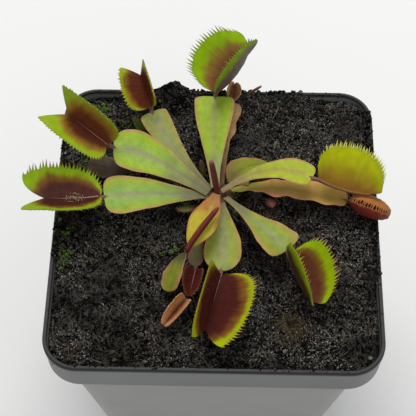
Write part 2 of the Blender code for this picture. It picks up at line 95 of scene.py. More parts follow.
# Blades with no open trap: the footstalk's values in the same order, then the thickness.
BLADES = {
    "leaf_small_southwest": ((-8.3, -12.4, 3.4), (-12.2, -22.9, 1.6), (-1.0, .4), 1.2,
                             .9, 2.8, .66, 1.1, 2.6, 20, .9),
    "leaf_small_green": ((-20.6, 27.6, 0.8), (-23.8, 31.8, 3.4), (-.4, .3), .5,
                         .7, 1.5, .60, 1.0, 2.0, 10, .7),
    "leaf_dead_flat": ((-25.6, 14.4, 0.5), (-36.8, 17.4, 0.9), (0, .8), .3,
                       1.2, 3.6, .45, 1.0, 2.2, 0, .6),
    "bract_east": ((3.6, 11.6, 1.6), (15.2, 15.6, 5.2), (-1.6, 3.0), 1.4,
                   .8, 4.0, .30, .9, 1.12, 24, .6),
    "bud_spike": ((0.2, 7.6, 2.3), (-1.7, 10.6, 15.0), (0.3, -.6), .2,
                  .75, .95, .40, 1.0, 2.2, 0, 1.5),
    "stub_north": ((-3.8, 14.6, 0.4), (-4.5, 17.2, 4.4), (-.2, .2), .2,
                   .7, .9, .45, 1.0, 2.2, 0, 1.0),
    "stub_west": ((-5.4, 4.2, 0.0), (-10.8, 2.4, 1.6), (0, -.3), .3,
                  .7, 1.1, .50, 1.0, 2.2, 0, .8),
    "bark_chip": ((14.5, 7.3, 0.2), (15.7, 4.0, 1.0), (.4, .2), .2,
                  .6, 1.4, .60, 1.0, 1.5, 12, .7),
    "twig": ((8.9, 43.2, 0.9), (12.6, 45.2, 2.0), (0, -.2), .3,
             .35, .42, .50, 1.0, 2.4, 0, .7),
}
# The closed dried trap on the peat, with the values of a trap above.
OLD_TRAP = ((-7.6, -25.5, 2.2), -128, -6, -8, 27, 8.4, 4.0, .08, .35, .45, .03, 35, .05, 0, .75)


def rgb(r, g, b):
    """Linear colour from display values 0 to 255."""
    return np.array([((c / 255 + .055) / 1.055) ** 2.4 if c > 10.3 else c / 255 / 12.92
                     for c in (r, g, b)])


TOOTH_PITCH = 0.92                   # spacing of the teeth along a margin


def shades(mid=(150, 146, 112), body=(148, 172, 78), band=(156, 184, 44), edge=(176, 136, 88),
           base=(122, 116, 92), **more):
    """A blade's colours: middle strip, body, margin band, edge and base."""
    return dict(mid=rgb(*mid), body=rgb(*body), band=rgb(*band), edge=rgb(*edge),
                base=rgb(*base), **more)


# flush is the colour of a blade's near part, and the places along it between which that fades.
BLADE_COLOURS = {
    "leaf_north": shades((148, 148, 84), (144, 168, 46), (148, 176, 26), base=(144, 152, 116)),
    "leaf_north_northwest": shades(body=(144, 150, 84), band=(148, 150, 66)),
    "leaf_northwest": shades(body=(148, 176, 68), band=(152, 184, 30)),
    "leaf_west": shades(body=(140, 172, 78), band=(150, 168, 46)),
    "leaf_south": shades(body=(140, 152, 70), band=(150, 150, 48)),
    "leaf_southeast": shades(body=(136, 158, 60), band=(162, 150, 62)),
    "leaf_east_upper": shades((166, 150, 80), (168, 174, 52), (166, 184, 30), (184, 136, 94),
                              (150, 126, 96)),
    "leaf_east_lower": shades((172, 138, 78), (184, 150, 66), (198, 150, 80), (212, 142, 112),
                              (132, 142, 48)),
    "leaf_young_folded": shades((186, 166, 60), (200, 184, 48), (184, 170, 44), (176, 104, 62),
                                (172, 118, 72), flush=(rgb(176, 118, 62), .40, .62)),
    "leaf_old_behind_north": shades((180, 146, 92), (194, 158, 100), (206, 168, 116),
                                    (206, 150, 106), (120, 100, 66)),
    "leaf_small_dark_red": shades((112, 112, 76), (112, 104, 72), (112, 84, 62), (110, 60, 44),
                                  (104, 72, 50)),
    "leaf_small_southwest": shades((112, 130, 14), (116, 120, 26), (146, 118, 50),
                                   (172, 130, 92), (70, 66, 36)),
    "leaf_small_green": shades((92, 110, 30), (94, 108, 34), (104, 104, 44), (120, 96, 54),
                               (70, 70, 30)),
    "leaf_dead_flat": shades((74, 63, 52), (84, 71, 58), (90, 76, 60), (102, 84, 66),
                             (66, 57, 47)),
    "bract_east": shades((150, 156, 44), (144, 158, 44), (150, 140, 52), (160, 112, 70),
                         (128, 110, 66)),
    "bud_spike": shades((94, 42, 38), (100, 46, 42), (112, 54, 48), (128, 62, 54), (72, 32, 28)),
    "stub_north": shades((112, 84, 70), (96, 78, 56), (96, 80, 48), (104, 84, 60), (84, 78, 36)),
    "stub_west": shades((116, 112, 56), (122, 118, 58), (120, 100, 56), (104, 80, 50),
                        (80, 66, 42)),
    "bark_chip": shades((150, 96, 78), (128, 76, 60), (112, 66, 52), (90, 52, 42), (96, 54, 42)),
    "twig": shades((128, 78, 52), (122, 70, 48), (120, 64, 40), (104, 56, 36), (110, 60, 40)),
}


def trap_shades(reach, soft, centre, throat, wash, band, out, teeth, tooth,
                turns=(.12, .72), rib=(184, 136, 118), pitch=TOOTH_PITCH):
    return dict(reach=reach, soft=soft, centre=centre, throat=rgb(*throat), wash=rgb(*wash),
                band=rgb(*band), out=[rgb(*c) for c in out], teeth=teeth, tooth=rgb(*tooth),
                turns=turns, rib=rgb(*rib), pitch=pitch)


# How far the dark throat reaches up the right and the left lobe, how softly it ends, where it is
# deepest along the hinge, the colours of throat, wash and margin band, the outside of the right
# and the left lobe (or one colour for both), the length and colour of the teeth. Then, where it
# differs: where between hinge and margin the outside turns to the band's colour, the pale line
# along the hinge, the spacing of the teeth.
TRAP_COLOURS = {
    "leaf_north": trap_shades(
        (.46, .60), .34, .42, (110, 58, 42), (134, 106, 44), (138, 174, 2),
        [(116, 94, 84), (140, 146, 60)], 2.3, (150, 132, 40), turns=(.62, 1.02)),
    "leaf_north_northwest": trap_shades(
        (.66, .78), .18, .5, (100, 50, 33), (146, 106, 38), (160, 178, 20),
        [(136, 142, 66)], 1.6, (206, 172, 110)),
    "leaf_northwest": trap_shades(
        (.80, .62), .30, .36, (104, 52, 34), (156, 120, 42), (152, 178, 34),
        [(140, 152, 70)], 1.15, (164, 158, 72)),
    "leaf_west": trap_shades(
        (.74, .64), .22, .40, (66, 28, 20), (112, 76, 24), (130, 160, 6),
        [(134, 144, 60)], 2.1, (116, 68, 42)),
    "leaf_south": trap_shades(
        (.82, .80), .20, .46, (78, 33, 28), (132, 84, 36), (172, 186, 12),
        [(140, 142, 60)], 1.9, (182, 140, 84), rib=(196, 178, 166)),
    "leaf_southeast": trap_shades(
        (.80, .68), .20, .5, (92, 50, 32), (122, 90, 30), (150, 178, 2),
        [(84, 56, 34), (92, 60, 38)], 2.1, (196, 140, 82), turns=(.62, 1.10)),
    "leaf_east_upper": trap_shades(
        (.5, .5), .3, .5, (140, 110, 40), (150, 130, 36), (166, 172, 2),
        [(152, 108, 38)], 1.9, (214, 208, 118), turns=(.04, .90)),
    "leaf_east_lower": trap_shades(
        (1.0, 1.0), .3, .5, (80, 30, 24), (120, 54, 34), (170, 108, 56),
        [(122, 46, 38), (168, 106, 52)], 1.5, (186, 112, 76), turns=(.97, 1.04), pitch=.72),
    "leaf_old_behind_north": trap_shades(
        (.5, .5), .3, .5, (140, 92, 52), (184, 138, 88), (212, 168, 118),
        [(196, 146, 94), (206, 160, 108)], .5, (196, 150, 96)),
    "leaf_small_dark_red": trap_shades(
        (.9, .9), .2, .5, (84, 32, 28), (94, 40, 32), (116, 66, 44),
        [(90, 44, 34)], .6, (120, 70, 48)),
    "trap_dried": trap_shades(
        (.45, .6), .4, .5, (120, 62, 38), (184, 124, 86), (206, 152, 102),
        [(188, 134, 88), (170, 116, 70)], .6, (200, 150, 100)),
}

# ---- curves and sections of a leaf ---------------------------------------------
BLADE_ROWS, BLADE_COLS = 56, 20      # along and across a blade
BLADE_THICK = 0.62
LOBE_ROWS, LOBE_COLS = 20, 44        # hinge to margin, and along the hinge
LOBE_THICK = 0.55
MARGIN_SAMPLES = 80                  # steps that measure a lobe's margin
TOOTH_RINGS, TOOTH_SIDES = 5, 6


def unit(v):
    return v / np.linalg.norm(v)


def blend(a, b, f):
    return a * (1 - f) + b * f


def step(a, b, x):
    """Smooth 0 to 1 as x goes from a to b."""
    f = min(max((x - a) / (b - a), 0.0), 1.0)
    return f * f * (3 - 2 * f)


def rough(p, scale, seed=0.0):
    return noise.noise(Vector((p[0] * scale + seed, p[1] * scale - seed, p[2] * scale + 2 * seed)))


def spine(base, end, mid, arch, t):
    b, e = np.array(base), np.array(end)
    m = (b + e) / 2 + np.array([mid[0], mid[1], arch])
    point = (1 - t) ** 2 * b + 2 * t * (1 - t) * m + t * t * e
    return point, unit(2 * (1 - t) * (m - b) + 2 * t * (e - m))


def half_width(t, w_base, w_max, widest, spread, blunt):
    if t < widest:
        return w_base + (w_max - w_base) * math.sin(math.pi / 2 * (t / widest) ** spread)
    f = (t - widest) / (1 - widest)
    return w_max * max(0.0, 1 - f ** blunt) ** (1 / blunt)


def cross_axes(tangent, roll):
    side = unit(np.cross(tangent, (0, 0, 1)))
    up = np.cross(side, tangent)
    r = math.radians(roll)
    return side * math.cos(r) - up * math.sin(r), up * math.cos(r) + side * math.sin(r)


def trap_axes(az, pitch, roll):
    a, b, r = (math.radians(v) for v in (az, pitch, roll))
    h = np.array([math.cos(a) * math.cos(b), math.sin(a) * math.cos(b), math.sin(b)])
    side = unit(np.cross(h, (0, 0, 1)))
    up = np.cross(side, h)
    return (h, side * math.cos(r) - up * math.sin(r), up * math.cos(r) + side * math.sin(r))


def lobe_point(trap, sign, s, t, lift=0.0):
    """Point on a lobe: s along the hinge, t from hinge to margin, lift off the surface."""
    (base, az, pitch, roll, opening, length, depth, over, tip_high, base_high, bow,
     curl, bulge, scaled, fullness) = trap
    h, side, up = trap_axes(az, pitch, roll)
    ctrl = ((-.06, base_high), (-.08, base_high + .75), (fullness, 1.22), (1 + over, tip_high))
    w = ((1 - s) ** 3, 3 * s * (1 - s) ** 2, 3 * s * s * (1 - s), s ** 3)
    mx = sum(a * c[0] for a, c in zip(w, ctrl))
    my = sum(a * c[1] for a, c in zip(w, ctrl))
    u = length * (s * (1 - t) + mx * t + bulge * s ** 5 * 4 * t * (1 - t))
    v = depth * my * t
    k = math.radians(curl) / (depth * max(my, .1) if scaled else depth)
    a0 = math.radians(opening + curl / 2)
    a1 = a0 - k * v
    out = (math.cos(a1) - math.cos(a0)) / k
    rise = (math.sin(a0) - math.sin(a1)) / k
    x = min(max(u / length, 0), 1)
    sag = bow * 4 * x * (1 - x) * length
    p = np.array(base) + u * h + sign * (out + lift * math.cos(a1)) * side
    return p + (rise - sag - lift * math.sin(a1)) * up


# ---- mesh assembly ---------------------------------------------------------------
def add_object(name, data):
    obj = bpy.data.objects.new(name, data)
    bpy.context.scene.collection.objects.link(obj)
    return obj


def loft(name, rings):
    """Closed mesh through rings that have equally many points, in millimetres."""
    count, last = len(rings[0]), len(rings) - 1
    points = [(x * MM, y * MM, z * MM) for ring in rings for x, y, z in ring]
    faces = []
    for k in range(last):
        a, b = k * count, (k + 1) * count
        for i in range(count):
            j = (i + 1) % count
            faces.append((a + i, a + j, b + j, b + i))
    faces += [tuple(range(count - 1, -1, -1)), tuple(range(last * count, len(points)))]
    mesh = bpy.data.meshes.new(name)
    mesh.from_pydata(points, [], faces)
    return mesh


class Skin:
    """Collects points with a colour and a leaf coordinate, and faces with a material."""

    def __init__(self):
        self.points, self.colours, self.coords, self.faces, self.mats = [], [], [], [], []

    def point(self, p, colour, coord=(0, 0, 0)):
        self.points.append((p[0] * MM, p[1] * MM, (p[2] + RIM) * MM))
        self.colours.append((*np.clip(colour, 0, 1), 1.0))
        self.coords.append(coord)
        return len(self.points) - 1

    def face(self, ids, mat=0):
        self.faces.append(ids)
        self.mats.append(mat)

    def strip(self, rings, mat=0):
        """Joins rings of point numbers into a closed tube."""
        for a, b in zip(rings, rings[1:]):
            n = len(a)
            for i in range(n):
                j = (i + 1) % n
                self.face((a[i], a[j], b[j], b[i]), mat)
        self.face(tuple(rings[0][::-1]), mat)
        self.face(tuple(rings[-1]), mat)

    def tube(self, path, radii, colour_at, sides=8, mat=0, flat=1.0):
        path = [np.array(p, float) for p in path]
        rings = []
        for i, p in enumerate(path):
            a, b = path[max(i - 1, 0)], path[min(i + 1, len(path) - 1)]
            t = unit(b - a)
            hint = (1.0, 0, 0) if abs(t[2]) > .95 else (0, 0, 1.0)
            side = unit(np.cross(t, hint))
            up = np.cross(side, t)
            f = i / (len(path) - 1)
            ring = []
            for k in range(sides):
                a = 2 * math.pi * k / sides
                q = p + (side * math.cos(a) + up * math.sin(a) * flat) * radii[i]
                ring.append(self.point(q, colour_at(f), (f * 8, k / sides, 0)))
            rings.append(ring)
        self.strip(rings, mat)

    def build(self, name, materials, nodes=(), smooth_angle=50):
        mesh = bpy.data.meshes.new(name)
        mesh.from_pydata(self.points, [], self.faces)
        mesh.validate()
        tint = mesh.attributes.new("tint", "FLOAT_COLOR", "POINT")
        tint.data.foreach_set("color", np.array(self.colours, np.float32).ravel())
        coord = mesh.attributes.new("leafco", "FLOAT_VECTOR", "POINT")
        coord.data.foreach_set("vector", np.array(self.coords, np.float32).ravel())
        for mat in materials:
            mesh.materials.append(mat)
        mesh.polygons.foreach_set("material_index", self.mats)
        mesh.shade_smooth()
        mesh.set_sharp_from_angle(angle=math.radians(smooth_angle))
        obj = add_object(name, mesh)
        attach(obj, "root")
        if nodes:
            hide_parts(*nodes)


# ---- materials -------------------------------------------------------------------
class Shader:
    """A Principled material built up from nodes."""

    def __init__(self, name, roughness, specular=.5, **constants):
        self.mat = bpy.data.materials.new(name)
        self.mat.use_nodes = True
        self.nodes, self.links = self.mat.node_tree.nodes, self.mat.node_tree.links
        self.bsdf = self.nodes["Principled BSDF"]
        self.bsdf.inputs["Roughness"].default_value = roughness
        self.bsdf.inputs["Specular IOR Level"].default_value = specular
        for key, value in constants.items():
            self.bsdf.inputs[key.replace("_", " ")].default_value = value

    def put(self, socket, value):
        """Links another node's output to a socket, or sets the socket to a constant."""
        if isinstance(value, bpy.types.NodeSocket):
            self.links.new(value, socket)
        else:
            socket.default_value = value

    def new(self, kind, **inputs):
        node = self.nodes.new(kind)
        for key, value in inputs.items():
            self.put(node.inputs[key], value)
        return node

    def attribute(self, name, output):
        node = self.nodes.new("ShaderNodeAttribute")
        node.attribute_type = "GEOMETRY"
        node.attribute_name = name
        return node.outputs[output]

    def noise(self, vector, scale, detail=3.0, rough=.6):
        return self.new("ShaderNodeTexNoise", Vector=vector, Scale=scale, Detail=detail,
                        Roughness=rough).outputs["Fac"]

    def remap(self, value, low, high, out_low, out_high):
        return self.new("ShaderNodeMapRange", **{
            "Value": value, "From Min": low, "From Max": high, "To Min": out_low,
            "To Max": out_high}).outputs["Result"]

    def mix(self, factor, a, b, blend="MIX"):
        node = self.nodes.new("ShaderNodeMix")
        node.data_type, node.blend_type = "RGBA", blend
        a, b = (v if isinstance(v, bpy.types.NodeSocket) else (*v, 1.0) for v in (a, b))
        for index, value in ((0, factor), (6, a), (7, b)):      # the RGBA sockets
            self.put(node.inputs[index], value)
        return node.outputs[2]

    def math(self, operation, a, b):
        node = self.nodes.new("ShaderNodeMath")
        node.operation = operation
        for socket, value in zip(node.inputs, (a, b)):
            self.put(socket, value)
        return node.outputs[0]

    def stretch(self, vector, scale):
        return self.new("ShaderNodeMapping", Vector=vector, Scale=scale).outputs["Vector"]

    def place(self):
        return self.new("ShaderNodeTexCoord").outputs["Object"]

    def finish(self, colour, roughness=None, height=None, distance=.0002, strength=.6):
        self.links.new(colour, self.bsdf.inputs["Base Color"])
        if roughness is not None:
            self.links.new(roughness, self.bsdf.inputs["Roughness"])
        if height is not None:
            bump = self.new("ShaderNodeBump", Strength=strength, Distance=distance, Height=height)
            self.links.new(bump.outputs["Normal"], self.bsdf.inputs["Normal"])
        return self.mat


def leaf_material():
    """Waxy blade: cell mottling, faint lengthwise veins and tiny pale specks."""
    s = Shader("leaf_skin", .52, .20, Subsurface_Weight=.05,
               Subsurface_Radius=(.0006, .0009, .0002))
    place, coord = s.place(), s.attribute("leafco", "Vector")
    mottle = s.noise(place, 900, 4, .65)
    cells = s.noise(place, 3200, 2, .5)
    veins = s.noise(s.stretch(coord, (2.2, 26, 1)), 1.0, 3, .6)
    colour = s.mix(s.remap(mottle, .35, .7, 0, .40), s.attribute("tint", "Color"),
                   (.76, .84, .55), "MULTIPLY")
    colour = s.mix(s.remap(veins, .45, .75, 0, .30), colour, (.62, .60, .42), "MULTIPLY")
    colour = s.mix(s.remap(cells, .56, .74, 0, .10), colour, (.60, .64, .40))
    height = s.math("ADD", s.math("MULTIPLY", veins, .8), s.math("MULTIPLY", cells, .25))
    return s.finish(colour, s.remap(mottle, .3, .7, .42, .58), height, .00026, .6)


def trap_material():
    """Lobe skin: fine glands, faint ribs from hinge to margin."""
    s = Shader("trap_skin", .6, .10, Subsurface_Weight=.04,
               Subsurface_Radius=(.0008, .0006, .0002))
    place, coord = s.place(), s.attribute("leafco", "Vector")
    glands = s.noise(place, 2600, 2, .5)
    ribs = s.noise(s.stretch(coord, (54, 2.0, 1)), 1.0, 2, .5)
    cloud = s.noise(place, 420, 3, .6)
    colour = s.mix(s.remap(ribs, .42, .72, 0, .16), s.attribute("tint", "Color"),
                   (.70, .62, .52), "MULTIPLY")
    colour = s.mix(s.remap(cloud, .35, .7, 0, .22), colour, (.78, .78, .66), "MULTIPLY")
    colour = s.mix(s.remap(glands, .58, .75, 0, .05), colour, (.40, .24, .16))
    height = s.math("ADD", s.math("MULTIPLY", ribs, .9), s.math("MULTIPLY", glands, .3))
    return s.finish(colour, s.remap(cloud, .3, .7, .48, .62), height, .00022, .5)


def dry_material():
    """Dried, papery tissue with wrinkles."""
    s = Shader("dry_skin", .75, .25)
    place, coord = s.place(), s.attribute("leafco", "Vector")
    wrinkles = s.noise(s.stretch(coord, (5, 30, 1)), 1.0, 4, .65)
    blotch = s.noise(place, 700, 4, .7)
    colour = s.mix(s.remap(blotch, .4, .7, 0, .4), s.attribute("tint", "Color"),
                   (.46, .38, .30), "MULTIPLY")
    colour = s.mix(s.remap(wrinkles, .5, .75, 0, .35), colour, (.50, .42, .34), "MULTIPLY")
    return s.finish(colour, s.remap(blotch, .3, .7, .65, .85), wrinkles, .0004, .7)


def peat_material():
    """Damp peat: black hollows, brown-grey lumps and pale grains, in drier and wetter patches."""
    s = Shader("peat_grain", .85, .04)
    place = s.place()
    patch = s.noise(place, 75, 3, .6)
    broad, mid, fine = (s.noise(place, n, 4, .65) for n in (170, 620, 2400))
    grit = s.noise(place, 1500, 3, .6)
    colour = s.mix(s.remap(broad, .40, .62, 0, 1), rgb(5, 5, 6), rgb(70, 68, 65))
    clod = s.mix(s.remap(mid, .50, .64, 0, .9), colour, rgb(104, 96, 84))
    colour = s.mix(s.remap(patch, .36, .56, .35, 1), colour, clod)
    grains = s.math("MULTIPLY", s.remap(fine, .55, .63, 0, 1), s.remap(patch, .42, .58, .12, 1))
    colour = s.mix(grains, colour, rgb(205, 203, 196))
    colour = s.mix(s.remap(grit, .42, .50, 1, 0), colour, rgb(2, 2, 3))
    height = s.math("ADD", s.math("MULTIPLY", mid, .8), s.math("MULTIPLY", fine, .6))
    return s.finish(colour, s.remap(mid, .3, .7, .95, .5), height, .0016, 1.0)


def loose_material(name, roughness, specular=.3):
    """Crumbs, fibres, moss, necks and crown: their own colour with speckle."""
    s = Shader(name, roughness, specular)
    place = s.place()
    speck = s.noise(place, 2600, 3, .6)
    colour = s.mix(s.remap(speck, .35, .65, 0, .85), s.attribute("tint", "Color"),
                   (.30, .29, .27), "MULTIPLY")
    return s.finish(colour, s.remap(speck, .3, .7, roughness - .12, roughness + .1),
                    speck, .0003, .6)


def plastic_material():
    """Moulded grey plastic: painted shade as a dark band along the lip, paler wall below the collar,
    faint clouding.
    """
    s = Shader("pot_plastic", .5, .2)
    place = s.place()
    height_up = s.new("ShaderNodeSeparateXYZ", Vector=place).outputs["Z"]
    lip, ledge = RIM * MM, (RIM - COLLAR_DEPTH) * MM
    cloud = s.noise(place, 60, 4, .6)
    grain = s.noise(s.stretch(place, (1, 1, .2)), 1500, 3, .6)
    peel = s.noise(place, 900, 2, .5)
    colour = s.mix(s.remap(height_up, ledge - .0004, ledge + .0002, 0, 1), rgb(162, 162, 159),
                   rgb(126, 127, 126))
    # Painted shade: the top 1.5 mm of the pot, lip top and inner wall, darkened to near black.
    colour = s.mix(s.remap(height_up, lip - .0015, lip - .0007, 0, 1), colour, rgb(48, 48, 49))
    colour = s.mix(s.remap(cloud, .4, .7, 0, .05), colour, rgb(110, 110, 109))
    colour = s.mix(s.remap(grain, .60, .8, 0, .08), colour, rgb(132, 132, 130))
    return s.finish(colour, s.remap(cloud, .4, .75, .45, .6), peel, .00012, .25)


LEAF, TRAP, DRY = leaf_material(), trap_material(), dry_material()
PEAT, PLASTIC = peat_material(), plastic_material()
CRUMB = loose_material("crumb_grain", .88, .05)
FIBRE = loose_material("fibre_skin", .7, .35)
MOSS = loose_material("moss_skin", .6, .35)
STEM = loose_material("stem_skin", .55, .4)


# ---- leaves ----------------------------------------------------------------------
def blade_colour(palette, t, x, p, under):
    ax = abs(x)
    if "flush" in palette:
        shade, start, end = palette["flush"]
        f = step(start, end, t)
        palette = dict(palette, body=blend(shade, palette["body"], f),
                       band=blend(shade, palette["band"], f))
    drift = .22 * rough(p, .22, 3.1)
    colour = blend(palette["body"], palette["band"], step(.34, .82, ax + drift))
    middle = .85 * math.exp(-(x / .17) ** 2) * (1 - .6 * step(.80, 1.0, t))
    colour = blend(colour, palette["mid"], middle)
    colour = blend(colour, palette["base"], (1 - step(.10, .48, t + drift * .5)) * .9)
    edge = step(.80, .95, ax + .12 * rough(p, .5, 9.0)) * .9
    colour = blend(colour, palette["edge"], edge)
    colour = colour * (1 + .16 * rough(p, .55, 5.0) + .10 * rough(p, 1.7, 1.0))
    # Painted shade: the underside is a darker copy of the upper colours.
    return colour * (.72, .70, .74) if under else colour


def blade_section(centre, side, up, w, thick, t, x, under, wave):
    """Point across a blade: channelled above, keeled below, with a wavy margin."""
    fold = min(.16 * w, .9)
    groove = .20 * min(w / 4, 1) * math.exp(-(x / .10) ** 2) * (1 - step(.85, 1, t))
    edge = (1 - abs(x) ** 5)
    lift = fold * x * x + wave * abs(x) ** 3
    if under:
        lift += -thick * .5 * edge - .34 * min(w / 4, 1) * math.exp(-(x / .14) ** 2)
    else:
        lift += thick * .5 * edge - groove
    return centre + side * (x * w) + up * lift


def add_blade(skin, spec, palette, thick, seed, last=.996, ragged=0.0, least=.45):
    """Blade from base to tip: ragged frays its margin, least is its smallest half width."""
    base, end, mid, arch, w0, wm, widest, spread, blunt, roll = spec
    rows, cols = BLADE_ROWS, BLADE_COLS
    rings = []
    for i in range(rows + 1):
        f = 1 - (1 - i / rows) ** 1.5
        t = last * f
        c, tan = spine(base, end, mid, arch, t)
        side, up = cross_axes(tan, roll)
        w = max(half_width(t, w0, wm, widest, spread, blunt), least)
        ring = []
        for under in (False, True):
            for k in range(cols - 1, 0, -1) if under else range(cols + 1):
                x = -1 + 2 * k / cols
                fray, phase = (1.5, 2) if x > 0 else (.6, 0)
                edge_noise = rough((t * 9, x, seed), 1.0, seed)
                width = w * (1 + (.03 + ragged * fray) * edge_noise * abs(x) ** 2)
                wave = .05 * w * math.sin(t * 17 + seed * 2 + phase) * step(.2, .6, t)
                wave += .3 * ragged * w * rough((t * 14, x * 2, seed), 1.0, seed + 4)
                p = blade_section(c, side, up, width, thick, t, x, under, wave)
                colour = blade_colour(palette, t, x, p, under)
                ring.append(skin.point(p, colour, (t * 3, x, 0)))
        rings.append(ring)
    skin.strip(rings)


def trap_colour(look, sign, s, t, p):
    reach = look["reach"][0 if sign > 0 else 1]
    aside = max(0.0, abs(s - look["centre"]) - .30)
    streak = .07 * noise.noise(Vector((s * 34, sign * 7.0, t * 2)))
    r = t / reach + 7.0 * aside * aside + streak + .12 * rough(p, .4, 2.0)
    soft = look["soft"]
    colour = blend(look["throat"], look["wash"], step(1 - 1.8 * soft, 1, r))
    colour = blend(colour, look["band"], step(1 - .3 * soft, 1 + 1.2 * soft, r))
    colour = colour * (1 + .16 * rough(p, .6, 7.0) + .08 * streak / .07)
    # Painted shade: the inner face darkens towards the hinge, where the two lobes meet.
    return colour * (.80 + .20 * step(0, .22, t))


def outside_colour(look, sign, t, p):
    f = step(*look["turns"], t + .1 * rough(p, .5, 4.0))
    colour = blend(look["out"][0 if sign > 0 else -1], look["band"], f)
    return colour * (1 + .18 * rough(p, .6, 6.0))


def add_lobe(skin, trap, sign, look, mat=1, crinkle=0.0):
    """One lobe as a thin closed plate, thinner towards its margin."""
    rows, cols = LOBE_ROWS, LOBE_COLS
    thick = min(LOBE_THICK, .12 * trap[6] + .1)
    layers = []
    for lift in (-1, 1):
        grid = []
        for i in range(cols + 1):
            s = i / cols
            line = []
            for j in range(rows + 1):
                t = j / rows
                ripple = .04 * math.sin(s * 60) * t * (1 - t) * 4
                ripple += crinkle * rough((s * 9, t * 5, sign * 3.0), 1.0, 2.0)
                half = thick / 2 * (1 - .55 * t ** 3)
                p = lobe_point(trap, sign, s, t, lift * half + ripple)
                paint = outside_colour(look, sign, t, p) if lift > 0 else \
                    trap_colour(look, sign, s, t, p)
                line.append(skin.point(p, paint, (s, t, 0)))
            grid.append(line)
        layers.append(grid)
    inner, outer = layers
    for i in range(cols):
        for j in range(rows):
            a = (inner[i][j], inner[i + 1][j], inner[i + 1][j + 1], inner[i][j + 1])
            b = (outer[i][j], outer[i][j + 1], outer[i + 1][j + 1], outer[i + 1][j])
            skin.face(a if sign < 0 else a[::-1], mat)
            skin.face(b if sign < 0 else b[::-1], mat)
        for j, k in ((0, 1), (rows, -1)):
            a = (inner[i][j], outer[i][j], outer[i + 1][j], inner[i + 1][j])
            skin.face(a if sign * k < 0 else a[::-1], mat)
    for i, k in ((0, 1), (cols, -1)):
        for j in range(rows):
            a = (inner[i][j], inner[i][j + 1], outer[i][j + 1], outer[i][j])
            skin.face(a if sign * k < 0 else a[::-1], mat)


def add_teeth(skin, trap, sign, look, mat=2, seed=0):
    """Slender saw teeth that lean a little out of line along a lobe's free margin."""
    fractions = np.linspace(0, 1, MARGIN_SAMPLES + 1)
    samples = [lobe_point(trap, sign, i / MARGIN_SAMPLES, 1.0) for i in range(MARGIN_SAMPLES + 1)]
    run = np.cumsum([0] + [np.linalg.norm(b - a) for a, b in zip(samples, samples[1:])])
    count = max(5, int(run[-1] / look["pitch"]))
    rng = np.random.default_rng(100 + seed + (7 if sign > 0 else 0))
    for n in range(count):
        place = (n + .5 + rng.uniform(-.22, .22)) / count
        s = float(np.interp(place * run[-1], run, fractions))
        tip = lobe_point(trap, sign, s, 1.0)
        out = unit(tip - lobe_point(trap, sign, s, .93))
        along = unit(lobe_point(trap, sign, min(s + .02, 1), 1.0)
                     - lobe_point(trap, sign, max(s - .02, 0), 1.0))
        across = unit(np.cross(along, out))
        inward = -unit(lobe_point(trap, sign, s, 1.0, .5) - tip)
        size = look["teeth"] * (.40 + .60 * step(0, .22, place)) * (1 - .45 * step(.86, 1, place))
        size *= rng.uniform(.75, 1.25)
        sway = along * rng.uniform(-.18, .18) + inward * rng.uniform(-.15, .15)
        rings = []
        for k in range(TOOTH_RINGS):
            f = k / (TOOTH_RINGS - 1)
            c = tip - out * .12 + (out * f + sway * f * f) * size
            half = .44 * look["pitch"] * (1 - f) ** 1.35 + .03
            paint = blend(look["band"], look["tooth"], step(.05, .85, f))
            ring = []
            for m in range(TOOTH_SIDES):
                a = 2 * math.pi * m / TOOTH_SIDES
                q = c + along * math.cos(a) * half + across * math.sin(a) * half * .5
                ring.append(skin.point(q, paint, (s, f, 0)))
            rings.append(ring)
        skin.strip(rings, mat)


def add_hairs(skin, trap, mat=2):
    """The three trigger hairs on each lobe."""
    for sign in (1, -1):
        for s, t in ((.36, .42), (.62, .42), (.50, .62)):
            p = lobe_point(trap, sign, s, t, -.2)
            d = -unit(lobe_point(trap, sign, s, t, .5) - lobe_point(trap, sign, s, t, 0))
            path = [p, p + d * .6, p + d * 1.2]
            skin.tube(path, (.05, .04, .015), lambda f: rgb(120, 70, 50), 5, mat)


def add_neck(skin, spec, trap, palette, look, mat=3):
    """Round neck between blade and trap, running on under the hinge as the midrib."""
    base, end, mid, arch = spec[:4]
    tail, _ = spine(base, end, mid, arch, .93)
    last, onward = spine(base, end, mid, arch, .995)
    h, _, up = trap_axes(*trap[1:4])
    path = [tail - np.array((0, 0, .25)), last]
    under = [lobe_point(trap, -1, s, 0) - up * .28 for s in (.02, .15, .35, .6, .85, .98)]
    if np.dot(h, onward) < 0:
        path.append((last + under[0]) / 2 + onward * .9)
    path += under
    n = len(path)
    radii = [.30, .62] + [.58] * (n - 8) + [.62, .55, .46, .40, .34, .22]
    pale, dark = rgb(128, 84, 70), look["out"][0]

    def colour_at(f):
        neck = blend(pale, dark, step(.3, .62, f))
        return blend(palette["mid"] * .9, neck, step(0, .2, f))

    skin.tube(path, radii, colour_at, 10, mat)
    rib = [lobe_point(trap, -1, s, 0) + up * .20 for s in np.linspace(.0, .97, 10)]
    radii = [.26 - .014 * k for k in range(10)]
    skin.tube(rib, radii, lambda f: blend(look["rib"], look["throat"] * 1.7, step(.35, 1.0, f)),
              7, mat)


